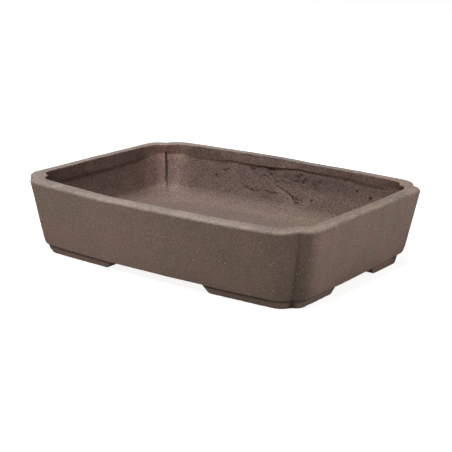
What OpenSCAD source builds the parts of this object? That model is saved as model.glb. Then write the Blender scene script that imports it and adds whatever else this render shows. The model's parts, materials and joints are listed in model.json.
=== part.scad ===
// Bonsai pot: a slab-built, unglazed stoneware tray.
// One floor slab, four wall slabs mitred at the corner ridges, four lip strips luted inside the
// rim, four coils pressed into the angle between floor and walls, and four corner feet.
// Origin: on the surface the pot stands on, under the middle. X runs along the long sides.

/* [Rim] */
// Length of the rim, end to end
rim_l = 300; // [260:1:360]
// Width of the rim across the middle of the long sides
rim_w = 228; // [200:1:280]
// Width of the rim's top face at the corners
rim_t = 12.4; // [11:0.1:15]
// How much narrower the rim's top face is at the middle of a side
rim_slim = 1.2; // [0:0.1:1.6]
// How far the worn outer edge of the rim lies below its inner edge
rim_drop = 0.8; // [0:0.1:1.5]
// Radius of the worn outer edge of the rim
rim_round = 1.6; // [1:0.1:2.5]

/* [Walls] */
// Height of the pot, feet included
pot_h = 67; // [58:1:85]
// Thickness of a wall slab
wall_t = 9; // [8:0.1:10]
// How far a wall leans in from the rim to the bottom
lean_in = 10.8; // [6:0.1:14]
// Outward bow of a long side at the rim
bow_rim = 8.8; // [4:0.1:11]
// Outward bow of a long side at the bottom
bow_foot = 4.2; // [2:0.1:6]
// Outward bow of a short side
bow_end = 0.4; // [0:0.1:2]

/* [Corners] */
// Radius of the corner lobes at the rim
lobe_rim = 15; // [13:0.5:17]
// Radius of the corner lobes at the bottom
lobe_foot = 12.4; // [11:0.1:14]
// Angle that each lobe turns before it meets its neighbour at the notch
lobe_turn = 84; // [75:1:88]
// How much smaller the lobes are on the inside
lobe_in = 4; // [3:0.1:5]

/* [Lip strips] */
// Height of a lip strip
lip_h = 13; // [9:0.5:18]

/* [Floor] */
// Thickness of the floor slab
floor_t = 9; // [8:0.5:12]
// Radius of the rounded bottom edge of the walls
edge_r = 5; // [3:0.5:5.5]
// Height and width of the coil pressed into the floor angle
cove_r = 14; // [8:1:18]
// Thickness of the coil where it is smoothed out on the wall
cove_t = 0.8; // [0.6:0.1:1.5]

/* [Feet] */
// Height of the feet
foot_h = 7; // [5:0.5:10]
// Width of a foot's arms
foot_t = 13; // [10:0.5:15]
// Distance of the feet inside the rounded bottom edge
foot_in = 0.6; // [0.4:0.1:1.5]
// Distance of a long arm's end from the middle of the pot, at the top of the foot
foot_x = 47; // [40:1:70]
// Distance of a short arm's end from the middle of the pot, at the top of the foot
foot_y = 30; // [25:1:45]
// How far the cut ends of a foot slope in from top to bottom
foot_slope = 6.5; // [3:0.5:9]

/* [Holes] */
// Diameter of the drain holes
drain_d = 24; // [18:1:30]
// Distance of each drain hole from the middle of the pot
drain_x = 58; // [40:1:75]
// Diameter of the tie-wire holes
wire_d = 5; // [4:0.5:7]
// Distance of the tie-wire holes from the middle along the pot
wire_x = 84; // [78:1:90]
// Distance of the tie-wire holes from the middle across the pot
wire_y = 36; // [20:1:45]

/* [Hidden] */

// Facet counts: one lobe, the bowed stretch between two lobes, a rounded edge, a coil's hollow
LOBE_STEPS = 7;
SIDE_STEPS = 12;
EDGE_STEPS = 4;
COVE_STEPS = 5;

// Half length and half width of the rim at the corners, before the sides bow out
half_l = rim_l / 2 - bow_end;
half_w = rim_w / 2 - bow_rim;
floor_z = foot_h + floor_t;
cove_z = floor_z + cove_r;
lip_z = pot_h - lip_h;
// Where the outer face of a wall ends and the worn edge of the rim begins
edge_z = pot_h - rim_drop - rim_round;
feet_in = lean_in + edge_r + foot_in;
// Past the pot on every side
far = rim_l;

CLAY = [0.40, 0.35, 0.32];
CLAY_RIM = [0.56, 0.50, 0.47];
CLAY_COVE = [0.45, 0.39, 0.36];
CLAY_FOOT = [0.36, 0.32, 0.29];

// How far down the outer face a height lies, 0 at the rim and 1 at the bottom
function fall(z) = max(0, edge_z - z) / (edge_z - foot_h);
// How far the outer face has leaned in at a height
function lean(z) = lean_in * fall(z);
// Radius of the outer corner lobes at a height
function lobe(z) = lobe_rim + (lobe_foot - lobe_rim) * fall(z);
// Bow of a side at a height
function bow(z, is_long) = is_long ? bow_rim + (bow_foot - bow_rim) * fall(z) : bow_end;
// Height of the rim's sloping top face at a distance in from its edge
function top_z(inset) = pot_h - rim_drop * (1 - inset / rim_t);

// A level is one line of a surface right round the pot: [inset from the rim, height, bow, lobe radius]
function level(inset, z, is_long, slim = 0, shrink = 0) =
    [inset, z, bow(z, is_long) + slim, lobe(z) - shrink];
// The levels of the faces inside the wall slabs
function inner_level(z, is_long) = level(lean(z) + wall_t, z, is_long, 0, lobe_in);

// A station is one place along a side: [share of the straight stretch, angle turned round the lobe]
STATIONS = concat(
    [for (i = [LOBE_STEPS:-1:0]) [-1, -lobe_turn * i / LOBE_STEPS]],
    [for (i = [1:SIDE_STEPS - 1]) [2 * i / SIDE_STEPS - 1, 0]],
    [for (i = [0:LOBE_STEPS]) [1, lobe_turn * i / LOBE_STEPS]]
);

// The point of a level at a station, on the side that faces -Y.
// The bow is a parabola that ends at the two notches, so every notch of a corner lies in one
// upright plane, and that plane is the mitre between two wall slabs.
function side_point(lv, st, is_long) =
    let (
        r = lv[3],
        along = (is_long ? half_l : half_w) - lv[0],
        out = (is_long ? half_w : half_l) - lv[0],
        notch = along - r * (1 - cos(lobe_turn)),
        x = st[0] * (notch - r * sin(lobe_turn)) + r * sin(st[1]),
        d = out - r * (1 - cos(st[1])) + lv[2] * (1 - pow(x / notch, 2))
    ) [x, -d, lv[1]];

// Turns a side's point to the side that faces -Y, +X, +Y or -X, for turn 0 to 3
function turned(p, turn) =
    turn == 0 ? p : turn == 1 ? [-p[1], p[0], p[2]] : turn == 2 ? [-p[0], -p[1], p[2]] : [p[1], -p[0], p[2]];

// The plan of a level as one closed outline, from the levels of a long and a short side
function plan(long_lv, end_lv) = [
    for (turn = [0:3]) let (is_long = turn % 2 == 0)
        for (i = [0:len(STATIONS) - 2])
            let (p = turned(side_point(is_long ? long_lv : end_lv, STATIONS[i], is_long), turn)) [p[0], p[1]]
];

// Sweeps a closed profile of levels along one side and closes it at both mitres.
// flip chooses the other diagonal, so that a strip and the wall behind it share every facet.
module sweep_side(levels, turn, flip = false) {
    n = len(levels);
    last = len(STATIONS) - 1;
    is_long = turn % 2 == 0;
    points = [for (st = STATIONS, lv = levels) turned(side_point(lv, st, is_long), turn)];
    sides = [
        for (j = [0:last - 1], i = [0:n - 1])
            let (a = j * n + i, b = j * n + (i + 1) % n, c = a + n, d = b + n)
                each flip ? [[a, c, b], [b, c, d]] : [[a, d, b], [a, c, d]]
    ];
    caps = [[for (i = [0:n - 1]) i], [for (i = [n - 1:-1:0]) last * n + i]];
    polyhedron(concat(points), concat(sides, caps));
}

// A wall slab: rounded bottom edge, leaning outer face, worn rim edge, and back down the inside
module wall(turn) {
    is_long = turn % 2 == 0;
    bottom_edge = [
        for (i = [0:EDGE_STEPS])
            let (
                a = 90 * i / EDGE_STEPS,
                z = foot_h + edge_r * (1 - cos(a)),
                back = edge_r * (1 - sin(a))
            ) level(lean(z) + back, z, is_long, 0, back)
    ];
    rim_edge = [
        for (i = [0:EDGE_STEPS])
            let (
                a = 90 * i / EDGE_STEPS,
                inset = rim_round * (1 - cos(a)),
                rise = (top_z(rim_round) - edge_z) * sin(a)
            ) level(inset, edge_z + rise, is_long)
    ];
    inside = [
        inner_level(top_z(wall_t), is_long),
        inner_level(lip_z, is_long),
        inner_level(cove_z, is_long),
        inner_level(floor_z, is_long),
        slab_level(foot_h, is_long)
    ];
    color(CLAY) sweep_side(concat(bottom_edge, rim_edge, inside), turn);
}

// The upright joint between the wall slabs and the floor slab, at a height
function slab_level(z, is_long) = let (lv = inner_level(floor_z, is_long)) [lv[0], z, lv[2], lv[3]];

// A lip strip: luted flush with the rim on the inside of a wall, with a square lower edge
module lip(turn) {
    is_long = turn % 2 == 0;
    color(CLAY_RIM) sweep_side([
        inner_level(lip_z, is_long),
        inner_level(top_z(wall_t), is_long),
        level(rim_t, pot_h, is_long, rim_slim, lobe_in),
        level(lean(lip_z) + rim_t, lip_z, is_long, rim_slim, lobe_in)
    ], turn, flip = true);
}

// A coil smoothed to a hollow curve between floor and wall
module cove(turn) {
    is_long = turn % 2 == 0;
    foot_lv = inner_level(floor_z, is_long);
    top_lv = inner_level(cove_z, is_long);
    hollow = [
        for (i = [0:COVE_STEPS])
            let (
                a = 90 * i / COVE_STEPS,
                z = floor_z + cove_r * (1 - sin(a)),
                out = cove_t + cove_r * (1 - cos(a)),
                lv = inner_level(z, is_long)
            ) [lv[0] + out, z, lv[2], lv[3]]
    ];
    color(CLAY_COVE) sweep_side(concat([foot_lv, top_lv], hollow), turn, flip = true);
}

// The floor slab, inside the walls, with its drain and tie-wire holes
module floor_slab() {
    color(CLAY) difference() {
        translate([0, 0, foot_h]) linear_extrude(floor_t)
            polygon(plan(slab_level(foot_h, true), slab_level(foot_h, false)));
        for (side = [-1, 1]) {
            translate([side * drain_x, 0, foot_h - 1]) cylinder(h = floor_t + 2, d = drain_d, $fn = 64);
            for (across = [-1, 1])
                translate([side * wire_x, across * wire_y, foot_h - 1])
                    cylinder(h = floor_t + 2, d = wire_d, $fn = 32);
        }
    }
}

// A block past a sloping cut that stands at a distance from the middle, along +X
module past_cut(start) {
    translate([0, far, 0]) rotate([90, 0, 0]) linear_extrude(2 * far)
        polygon([[start + foot_slope, 0], [far, 0], [far, foot_h], [start, foot_h]]);
}

// A corner foot: two arms that follow the notched corner, cut off at a slope. side and across are
// the signs of its corner.
module foot(side, across) {
    outer = feet_in;
    inner = outer + foot_t;
    mirror([side < 0 ? 1 : 0, 0, 0]) mirror([0, across < 0 ? 1 : 0, 0])
        color(CLAY_FOOT) intersection() {
            linear_extrude(foot_h) difference() {
                polygon(plan(level(outer, foot_h, true, 0, lobe_in), level(outer, foot_h, false, 0, lobe_in)));
                polygon(plan(level(inner, foot_h, true, 0, lobe_in), level(inner, foot_h, false, 0, lobe_in)));
            }
            past_cut(foot_x);
            rotate([0, 0, 90]) past_cut(foot_y);
        }
}

floor_slab();
wall(0);  // wall_front
wall(1);  // wall_right
wall(2);  // wall_back
wall(3);  // wall_left
lip(0);  // lip_front
lip(1);  // lip_right
lip(2);  // lip_back
lip(3);  // lip_left
cove(0);  // cove_front
cove(1);  // cove_right
cove(2);  // cove_back
cove(3);  // cove_left
foot(-1, -1);  // foot_front_left
foot(1, -1);  // foot_front_right
foot(-1, 1);  // foot_back_left
foot(1, 1);  // foot_back_right
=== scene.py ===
"""Looks of a bonsai pot: a slab-built, unglazed stoneware tray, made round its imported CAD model.

Every clay piece of the pot is one closed surface, worked out with numpy from the same few curves
that the CAD model uses: a plan outline whose corners are two round lobes with a notch between
them, and a profile that is carried along one side from notch to notch. One warp, a function of
place alone, then gives all the pieces the same hand-made unevenness, so that they still meet.

Lengths are in metres. X runs along the long sides, Z is up, and the pot stands on Z = 0.
"""

from __future__ import annotations

import json
import logging
import math
from collections.abc import Sequence
from dataclasses import dataclass, field, replace
from enum import Enum

import bpy
import numpy as np
from mathutils import Matrix, Vector


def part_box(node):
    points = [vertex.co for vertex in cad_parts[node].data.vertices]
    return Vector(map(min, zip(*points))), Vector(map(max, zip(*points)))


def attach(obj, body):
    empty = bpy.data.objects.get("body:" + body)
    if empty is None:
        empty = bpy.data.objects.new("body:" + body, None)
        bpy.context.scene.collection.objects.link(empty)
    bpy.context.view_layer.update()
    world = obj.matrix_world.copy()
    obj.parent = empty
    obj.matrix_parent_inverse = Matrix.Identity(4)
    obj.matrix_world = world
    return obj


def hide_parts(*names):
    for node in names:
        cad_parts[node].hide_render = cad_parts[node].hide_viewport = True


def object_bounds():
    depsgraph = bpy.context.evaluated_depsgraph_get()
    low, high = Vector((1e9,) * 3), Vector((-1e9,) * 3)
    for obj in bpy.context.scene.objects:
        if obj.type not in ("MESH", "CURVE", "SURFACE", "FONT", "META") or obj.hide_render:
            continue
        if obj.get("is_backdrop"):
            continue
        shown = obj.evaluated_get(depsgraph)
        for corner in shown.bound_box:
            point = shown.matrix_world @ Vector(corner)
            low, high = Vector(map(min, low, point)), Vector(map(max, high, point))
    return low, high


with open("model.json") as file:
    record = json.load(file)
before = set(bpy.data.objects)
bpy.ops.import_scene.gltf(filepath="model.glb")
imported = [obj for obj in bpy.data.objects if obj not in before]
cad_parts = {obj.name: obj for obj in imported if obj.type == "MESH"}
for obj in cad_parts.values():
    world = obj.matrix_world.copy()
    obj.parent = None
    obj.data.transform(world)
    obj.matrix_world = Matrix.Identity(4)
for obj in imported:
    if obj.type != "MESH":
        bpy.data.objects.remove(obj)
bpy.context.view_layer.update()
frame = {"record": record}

MM = 0.001
BODY = "root"
MOTTLE_TINTS = ("Base", "Cool", "Warm")
SLOTS = ("wall_clay", "rim_clay", "floor_clay", "coil_clay", "foot_clay")
LOG = logging.getLogger("bonsai_pot")

Array = np.ndarray


class Side(Enum):
    """The sides of the pot, by quarter turns from the front, seen from above."""

    FRONT = 0
    RIGHT = 1
    BACK = 2
    LEFT = 3

    @property
    def is_long(self) -> bool:
        """True for the two long sides."""
        return self.value % 2 == 0

    @property
    def word(self) -> str:
        """The side's name as the nodes spell it."""
        return self.name.lower()

    def turned(self, points: Array) -> Array:
        """Turns points from the front side to this one.

        Args:
            points: Places on the side that faces -Y, with x, y and z last.

        Returns:
            The same places on this side: a quarter turn takes (x, y) to (-y, x).
        """
        x, y, z = points[..., 0], points[..., 1], points[..., 2]
        for _ in range(self.value):
            x, y = -y, x
        return np.stack([x, y, z], -1)


# ---------------------------------------------------------------------------- curves and noise


def ease(value: Array | float, start: float, end: float) -> Array:
    """Smooth step: 0 at start, 1 at end, with level ends (3 t^2 - 2 t^3). start may be above end."""
    t = np.clip((np.asarray(value, float) - start) / (end - start), 0, 1)
    return t * t * (3 - 2 * t)


def hill(value: Array, centre: float | Array, width: float | Array) -> Array:
    """Bell curve: 1 at the centre, falling as exp(-(distance / width)^2)."""
    return np.exp(-(((value - centre) / width) ** 2))


def run_of(share: Array, knots: Sequence[float]) -> Array:
    """A smooth run through equally spaced knots.

    Args:
        share: Places along the run, -1 at the first knot and 1 at the last.
        knots: The value at each knot.

    Returns:
        Values that ease from each knot to the next with a smooth step.
    """
    place = (np.clip(share, -1, 1) + 1) / 2 * (len(knots) - 1)
    left = np.minimum(place.astype(int), len(knots) - 2)
    table = np.asarray(knots, float)
    return table[left] + (table[left + 1] - table[left]) * ease(place - left, 0, 1)


def lattice_value(cell: Array, seed: int) -> Array:
    """A repeatable value from -1 to 1 for each whole-number cell: its three numbers are multiplied
    by primes, mixed bit by bit with the seed, and scaled."""
    prime = np.array([73856093, 19349663, 83492791], np.uint32)
    mixed = cell.astype(np.int64).astype(np.uint32) * prime
    bits = mixed[..., 0] ^ mixed[..., 1] ^ mixed[..., 2] ^ np.uint32(seed * 2654435761 % 2**32)
    for shift in (15, 13, 16):
        bits = (bits ^ (bits >> np.uint32(shift))) * np.uint32(0x2C1B3C6D)
    return (bits ^ (bits >> np.uint32(15))) / 2**31 - 1


def noise(points: Array, size: float | Sequence[float], seed: int) -> Array:
    """Smooth value noise from -1 to 1.

    Args:
        points: Places, with x, y and z last.
        size: Width of one patch of the noise, one number or one for each axis.
        seed: Which noise.

    Returns:
        At each place, the eight corner values of its cell blended by a fifth-power smooth step.
    """
    scaled = points / np.asarray(size, float) + 0.37 * seed
    cell = np.floor(scaled)
    part = scaled - cell
    part = part**3 * (part * (6 * part - 15) + 10)
    total = np.zeros(points.shape[:-1])
    for corner in np.ndindex(2, 2, 2):
        weight = np.prod(np.where(np.array(corner) == 1, part, 1 - part), axis=-1)
        total += weight * lattice_value(cell + np.array(corner), seed)
    return total


def noise_vector(points: Array, size: float, seed: int) -> Array:
    """Three independent noises as one vector per place."""
    return np.stack([noise(points, size, seed + 101 * axis) for axis in range(3)], -1)


def distance_to_path(x: Array, z: Array, path: Sequence[tuple[float, float]]) -> Array:
    """Distance in the XZ plane from each place to the nearest point of a chain of straight lines."""
    nearest = np.full(x.shape, np.inf)
    for (x0, z0), (x1, z1) in zip(path[:-1], path[1:]):
        run, rise = x1 - x0, z1 - z0
        share = np.clip(((x - x0) * run + (z - z0) * rise) / (run * run + rise * rise), 0, 1)
        nearest = np.minimum(nearest, np.hypot(x - x0 - share * run, z - z0 - share * rise))
    return nearest


# ---------------------------------------------------------------------------- the pot's curves


@dataclass(frozen=True)
class PotShape:
    """The sizes that all the pieces share. from_frame reads those that the CAD boxes give."""

    half_l: float
    half_w: float
    height: float
    foot_h: float
    floor_z: float
    cove_z: float
    lip_z: float
    lean_in: float
    foot_start_x: float
    foot_start_y: float
    foot_inset: float
    wall_t: float = 9.0 * MM
    rim_t: float = 12.4 * MM
    rim_slim: float = 1.2 * MM
    rim_drop: float = 0.8 * MM
    rim_round: float = 1.6 * MM
    edge_r: float = 5.0 * MM
    bow_rim: float = 8.8 * MM
    bow_foot: float = 4.2 * MM
    bow_end: float = 0.4 * MM
    lobe_rim: float = 15.0 * MM
    lobe_foot: float = 12.4 * MM
    lobe_in: float = 4.0 * MM
    lobe_turn: float = math.radians(84)

    @classmethod
    def from_frame(cls) -> "PotShape":
        """Reads the pot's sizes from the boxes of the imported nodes.

        Returns:
            The shape. The lean comes from the slab's edge, which lies a wall's thickness inside
            the leaning outer face.
        """
        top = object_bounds()[1]
        slab_lo, slab_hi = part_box("floor_slab")
        foot_lo, foot_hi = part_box("foot_back_right")
        half_l = top.x - cls.bow_end
        edge_z = top.z - cls.rim_drop - cls.rim_round
        slab_in = half_l + cls.bow_end - slab_hi.x
        lean_share = (edge_z - slab_hi.z) / (edge_z - slab_lo.z)
        return cls(
            half_l=half_l,
            half_w=top.y - cls.bow_rim,
            height=top.z,
            foot_h=slab_lo.z,
            floor_z=slab_hi.z,
            cove_z=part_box("cove_back")[1].z,
            lip_z=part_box("lip_back")[0].z,
            lean_in=(slab_in - cls.wall_t) / lean_share,
            foot_start_x=foot_lo.x,
            foot_start_y=foot_lo.y,
            foot_inset=half_l + cls.bow_end - foot_hi.x,
        )

    @property
    def edge_z(self) -> float:
        """Height at which a wall's outer face ends and the worn edge of the rim begins."""
        return self.height - self.rim_drop - self.rim_round

    @property
    def mitre(self) -> float:
        """|x| - |y| on the upright plane in which two walls meet."""
        return self.half_l - self.half_w

    def fall(self, z: Array | float) -> Array:
        """How far down the outer face a height lies, 0 at the rim and 1 at the bottom."""
        return np.maximum(0, self.edge_z - np.asarray(z, float)) / (self.edge_z - self.foot_h)

    def lean(self, z: Array | float) -> Array:
        """How far the outer face has leaned in at a height."""
        return self.lean_in * self.fall(z)

    def lobe(self, z: Array | float) -> Array:
        """Radius of the outer corner lobes at a height."""
        return self.lobe_rim + (self.lobe_foot - self.lobe_rim) * self.fall(z)

    def bow(self, z: Array | float, side: Side) -> Array:
        """Outward bow of a side at a height."""
        if side.is_long:
            return self.bow_rim + (self.bow_foot - self.bow_rim) * self.fall(z)
        return self.bow_end + 0 * self.fall(z)

    def ridge(self, z: Array | float) -> tuple[Array, Array]:
        """Turn and radius of the lobes inside the pot.

        Args:
            z: Heights.

        Returns:
            The turn, which falls from nearly a right angle up the walls to half of one at the
            floor, and the radius that keeps the crest of the ridge where it is, so that each
            corner becomes one wide round as the ridge dies out.
        """
        z = np.asarray(z, float)
        round_turn = math.radians(45)
        turn = round_turn + (self.lobe_turn - round_turn) * ease(z, self.floor_z, self.cove_z + 3 * MM)
        reach = (self.lobe(z) - self.lobe_in) * (1 - math.cos(self.lobe_turn))
        return turn, reach / (1 - np.cos(turn))

    def inside_at(self, z: Array) -> Array:
        """The inside mask on a wall's inner face, which goes on from that of the rim's top face."""
        return 1 - (1 - self.wall_t / self.rim_t) * ease(z, self.height - 6 * MM, self.top_z(self.wall_t))

    def top_z(self, inset: Array | float) -> Array:
        """Height of the rim's sloping top face at a distance in from its edge."""
        return self.height - self.rim_drop * (1 - np.asarray(inset, float) / self.rim_t)


@dataclass
class Levels:
    """Lines of a surface, each running along one side, as arrays of stations by levels.

    A level's inset is its distance inside the rim's outline, and its bow, lobe and turn say how
    the line bows out and how its ends curl. The masks say what lies there: inside is 1 within the
    pot, rim is 1 on the rim's top face, and wear is 1 where hands and shelves rub.
    """

    inset: Array
    z: Array
    bow: Array
    lobe: Array
    turn: Array
    inside: Array
    rim: Array
    wear: Array

    @classmethod
    def of(cls, stations: int, **values: Array | float) -> "Levels":
        """Spreads each value over all the stations; masks that aren't given are 0.

        Args:
            stations: How many stations the side has.
            **values: One number, one per level, or an array of stations by levels, by field.

        Returns:
            The levels, with every field an array of stations by levels.
        """
        filled = {"inside": 0.0, "rim": 0.0, "wear": 0.0, **values}
        count = max(np.asarray(v).shape[-1] if np.ndim(v) else 1 for v in filled.values())
        return cls(**{k: np.broadcast_to(v, (stations, count)).astype(float) for k, v in filled.items()})

    def then(self, *others: "Levels") -> "Levels":
        """These levels followed by others, in order round the profile."""
        parts = (self, *others)
        return Levels(**{k: np.concatenate([getattr(p, k) for p in parts], 1) for k in vars(self)})


@dataclass(frozen=True)
class Stations:
    """Places along a side: the share of its straight stretch, and of the turn round a lobe."""

    share: Array
    curl: Array

    @classmethod
    def along(cls, middle: int, lobe: int) -> "Stations":
        """Stations from notch to notch, closer together towards the notches.

        Args:
            middle: Steps on the stretch between the lobes.
            lobe: Steps round each lobe.

        Returns:
            The stations, in order.
        """
        curl = 1 - (1 - np.linspace(0, 1, lobe + 1)) ** 1.35
        share = np.linspace(-1, 1, middle + 1)[1:-1]
        one = np.ones(lobe + 1)
        return cls(
            np.concatenate([-one, share, one]),
            np.concatenate([-curl[::-1], 0 * share, curl]),
        )

    def __len__(self) -> int:
        """How many stations there are."""
        return len(self.share)


def side_grid(shape: PotShape, levels: Levels, share: Array, curl: Array, side: Side) -> Array:
    """The places of a side's levels at its stations.

    Along the straight stretch x grows evenly; round a lobe of radius r, x = r sin(angle) beyond
    it, and the line turns in by r (1 - cos(angle)). The bow adds a parabola that is 0 at the
    notches, so every notch of a corner lies in one upright plane.

    Args:
        shape: The pot's sizes.
        levels: The lines, stations by levels.
        share: Share of the straight stretch, one per station or stations by levels.
        curl: Share of the turn round a lobe, likewise.
        side: Which side.

    Returns:
        Places as stations by levels by 3.
    """
    share = share[:, None] if share.ndim == 1 else share
    curl = curl[:, None] if curl.ndim == 1 else curl
    lengths = (shape.half_l, shape.half_w) if side.is_long else (shape.half_w, shape.half_l)
    notch = lengths[0] - levels.inset - levels.lobe * (1 - np.cos(levels.turn))
    angle = curl * levels.turn
    x = share * (notch - levels.lobe * np.sin(levels.turn)) + levels.lobe * np.sin(angle)
    out = lengths[1] - levels.inset - levels.lobe * (1 - np.cos(angle))
    out = out + levels.bow * (1 - (x / notch) ** 2)
    return side.turned(np.stack([x, -out, levels.z], -1))


# ---------------------------------------------------------------------------- the potter's hand


@dataclass(frozen=True)
class Crack:
    """A ragged split in the inside face of the back wall: a path of (x, z), a width and a depth,
    all in millimetres."""

    path: tuple[tuple[float, float], ...]
    width: float
    depth: float


@dataclass(frozen=True)
class Pit:
    """A round hole left by a burnt-out grain in the back wall: its (x, z) and radius in
    millimetres."""

    place: tuple[float, float]
    radius: float


@dataclass(frozen=True)
class PottersHand:
    """The unevenness of hand-built clay, as one function of place for all the pieces.

    waves pairs the size of each noise with its depth. rise, left_lift and right_lift raise the
    rim, foot_lift raises the body over the feet, and notch_drift moves the near right notch
    sideways. notch_round and ridge_round soften the corners, and ridge_split gives the heights
    between which the back left ridge has split.
    """

    shape: PotShape
    waves: tuple[tuple[float, float], ...] = (
        (95 * MM, 0.55 * MM),
        (34 * MM, 0.22 * MM),
        (11 * MM, 0.09 * MM),
        (4 * MM, 0.045 * MM),
    )
    notch_round: float = 1.1 * MM
    ridge_round: float = 0.45 * MM
    ridge_split: tuple[float, float] = (17 * MM, 60 * MM)
    notch_drift: float = 2.3 * MM
    foot_lift: float = 0.8 * MM
    rise: float = 0.6 * MM
    left_lift: float = 1.1 * MM
    right_lift: float = 0.7 * MM

    def mitre_distance(self, points: Array) -> Array:
        """Distance of each place from the nearest mitre plane."""
        return (np.abs(points[..., 0]) - np.abs(points[..., 1]) - self.shape.mitre) / math.sqrt(2)

    def soften_corners(self, points: Array, inside: Array) -> Array:
        """Rounds the bottom of the outer notches and the crest of the inner ridges.

        A V of two flanks, |m| deep at a distance m from the mitre, becomes sqrt(m^2 + w^2): the
        difference is added outwards along the diagonal, and dies out within a few millimetres.

        Args:
            points: Places.
            inside: 1 for places within the pot.

        Returns:
            The move of each place.
        """
        m = np.abs(self.mitre_distance(points))
        filled = self.notch_round + 2.8 * MM * (points[..., 0] < 0) * (points[..., 1] < 0)
        width = filled + (self.ridge_round - filled) * inside
        reach = np.clip(1 - m / (7 * MM), 0, 1) ** 2
        push = 0.9 * (np.sqrt(m * m + width * width) - m) * reach
        outward = np.sign(points[..., :2]) / math.sqrt(2)
        return np.concatenate([push[..., None] * outward, 0 * push[..., None]], -1)

    def split(self, points: Array, inside: Array) -> Array:
        """How open the split mitre down the back left ridge is, from 0 to 1."""
        low, high = self.ridge_split
        m = self.mitre_distance(points)
        wander = 0.6 * MM * noise(points * [0, 0, 1.0], 5 * MM, 71) + 0.2 * MM
        corner = (points[..., 0] < 0) & (points[..., 1] > 0)
        z = points[..., 2]
        run = ease(z, low, low + 22 * MM) * ease(z, high, high - 3 * MM)
        width = (1.3 + 0.45 * noise(points * [0, 0, 1.0], 3 * MM, 72)) * MM
        return inside * corner * run * hill(m, wander, width)

    def tone(self, points: Array, inside: Array) -> Array:
        """Painted light and shade, with faint streaks, at each place; 1 is the clay's usual shade.

        Args:
            points: Places on the smooth curves.
            inside: 1 for places within the pot.

        Returns:
            A factor for the clay's colour. Outside, the short right wall is painted lighter, the long front
            wall darker towards the right and the notches darker, all as painted light and shade, and faint
            upright streaks run over the right end. Inside, the back left corner and the left wall's foot are
            painted lighter; the left wall's top, the back right hollow and the clay under the back ledge get
            painted shade.
        """
        s = self.shape
        x, y, z = points[..., 0], points[..., 1], points[..., 2]
        side = self.mitre_distance(points)
        m = np.abs(side)
        right = ease(x, s.half_l - 24 * MM, s.half_l - 12 * MM) * ease(m, 6 * MM, 24 * MM)
        outer = 1 + 0.12 * right - 0.25 * ease(x, -60 * MM, 120 * MM) * (1 - right)
        outer = outer - 0.16 * hill(m, 0, 1.3 * MM) - 0.13 * hill(side, 6 * MM, 7 * MM)
        outer = outer - 0.10 * ease(x, 95 * MM, 132 * MM) * (1 - right)
        outer = outer + 0.05 * right * ease(y, -20 * MM, 80 * MM)
        outer = outer + 0.07 * noise(points * [1, 1, 0.12], 8 * MM, 61) * ease(x, 70 * MM, 130 * MM)
        up = ease(z, s.floor_z + 6 * MM, s.height - 12 * MM)
        left = ease(x, 30 * MM - s.half_l, 8 * MM - s.half_l) * ease(m, 10 * MM, 20 * MM)
        lobes = ease(side, 28 * MM, 12 * MM) * ease(side, -27 * MM, -7 * MM)
        corner = (x < 0) * (y > 0) * lobes * ease(z, s.floor_z + 4 * MM, s.cove_z)
        corner = corner * (1 + 0.9 * ease(z, s.lip_z - 5 * MM, s.lip_z))
        inner = 1.04 + 0.27 * left - 0.30 * left * up * ease(y, 110 * MM, -60 * MM) + 0.70 * corner
        above_coil = ease(z, s.floor_z + 8 * MM, s.cove_z + 4 * MM)
        inner = inner + 0.10 * (1 - left) * above_coil * ease(x, -150 * MM, -20 * MM)
        inner = inner + 0.15 * left * ease(z, 38 * MM, 26 * MM)
        inner = inner + 0.06 * left * ease(z, s.lip_z - 2 * MM, s.lip_z + 2 * MM)
        hollow = (x > 0) * (y > 0) * hill(side, 3.5 * MM, 3 * MM) * ease(z, 30 * MM, 50 * MM)
        inner = inner - 0.45 * hollow
        ledge = (y > 0) * ease(m, 6 * MM, 20 * MM) * ease(x, -60 * MM, 30 * MM)
        ledge = ledge * ease(z, s.cove_z + 8 * MM, s.lip_z - 3 * MM) * ease(z, s.lip_z + 5 * MM, s.lip_z)
        inner = inner - 0.28 * ledge
        return outer + (inner - outer) * inside

    def moved(self, points: Array, inside: Array) -> Array:
        """Places with the hand-made unevenness.

        Args:
            points: Places on the smooth curves.
            inside: 1 for places within the pot.

        Returns:
            The places moved by a few sizes of noise, with the feet kept flat on the ground, the
            corners softened and the split ridge opened.
        """
        waves = enumerate(self.waves)
        shift = sum(depth * noise_vector(points, size, 11 + i) for i, (size, depth) in waves)
        x, y, z = points[..., 0], points[..., 1], points[..., 2]
        shift[..., 2] *= ease(z, 0.5 * MM, 9 * MM)
        far_right = ease(x, 60 * MM, 130 * MM) * ease(y, -30 * MM, 70 * MM)
        lift = self.foot_lift + 1.1 * MM * hill(self.mitre_distance(points), 0, 40 * MM) + 1.5 * MM * far_right
        shift[..., 2] += lift * hill(z, 8 * MM, 6 * MM) * ease(z, 0, 5 * MM)
        shift[..., 0] -= 1.2 * MM * ease(x, -60 * MM, -140 * MM) * ease(z, 50 * MM, 8 * MM)
        far_left = ease(x - 0.35 * y, 20 * MM, -150 * MM)
        at_right = ease(x + 0.35 * y, 50 * MM, 180 * MM)
        ends = self.rise + self.left_lift * far_left + self.right_lift * at_right
        shift[..., 2] += ends * ease(z, 30 * MM, 62 * MM)
        near = hill(self.mitre_distance(points), 0, 10 * MM) * (x > 0) * (y < 0)
        drift = self.notch_drift * near * (0.45 + 0.55 * ease(z, 10 * MM, 60 * MM))
        shift[..., :2] += drift[..., None] / math.sqrt(2)
        shift += self.soften_corners(points, inside)
        gap = 2.4 * MM * self.split(points, inside)
        shift[..., 0] -= gap / math.sqrt(2)
        shift[..., 1] += gap / math.sqrt(2)
        return points + shift


# ---------------------------------------------------------------------------- meshes


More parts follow.
